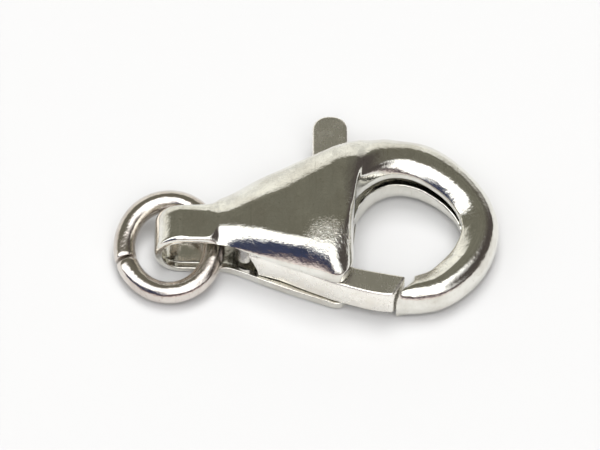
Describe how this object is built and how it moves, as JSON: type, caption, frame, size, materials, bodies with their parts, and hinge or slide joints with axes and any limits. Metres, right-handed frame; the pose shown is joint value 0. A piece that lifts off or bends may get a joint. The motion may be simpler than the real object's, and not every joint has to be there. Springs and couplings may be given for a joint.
{
  "type": "lobster clasp",
  "caption": "Silver lobster clasp: domed hollow body and curved hook, sprung gate lever with a thumb tab, and a jump ring on its folded tail loop.",
  "frame": {"origin": "the point of the flat back face on the axis of the gate's pivot", "axes": "+X from the tail loop to the hook, +Y towards the spine and the thumb tab, +Z out of the domed face, with the back face lying at z = 0"},
  "size_m": [0.0145, 0.0083, 0.003],
  "materials": {
    "body_silver": "polished sterling silver with fine scratches",
    "gate_silver": "polished sterling silver",
    "pin_steel": "plain drawn steel",
    "spring_steel": "plain spring steel strip",
    "ring_silver": "polished sterling silver"
  },
  "bodies": {
    "body": {"clasp_body": "body_silver", "pivot_pin": "pin_steel", "gate_spring": "spring_steel"},
    "gate": {"gate_lever": "gate_silver"},
    "ring": {"jump_ring": "ring_silver"}
  },
  "joints": [
    {"name": "gate_pivot", "type": "hinge", "parent": "body", "child": "gate", "pos_m": [0, 0, 0.00109], "axis": [0, 0, 1], "range_deg": [0, 24], "stiffness_Nm_per_rad": 0.005, "springref_deg": -20.05},
    {"name": "ring_swing", "type": "hinge", "parent": "body", "child": "ring", "pos_m": [-0.00225, 0.00102, 0.001], "axis": [-0.171, 0.9698, 0.1736], "range_deg": [0, 40]}
  ]
}
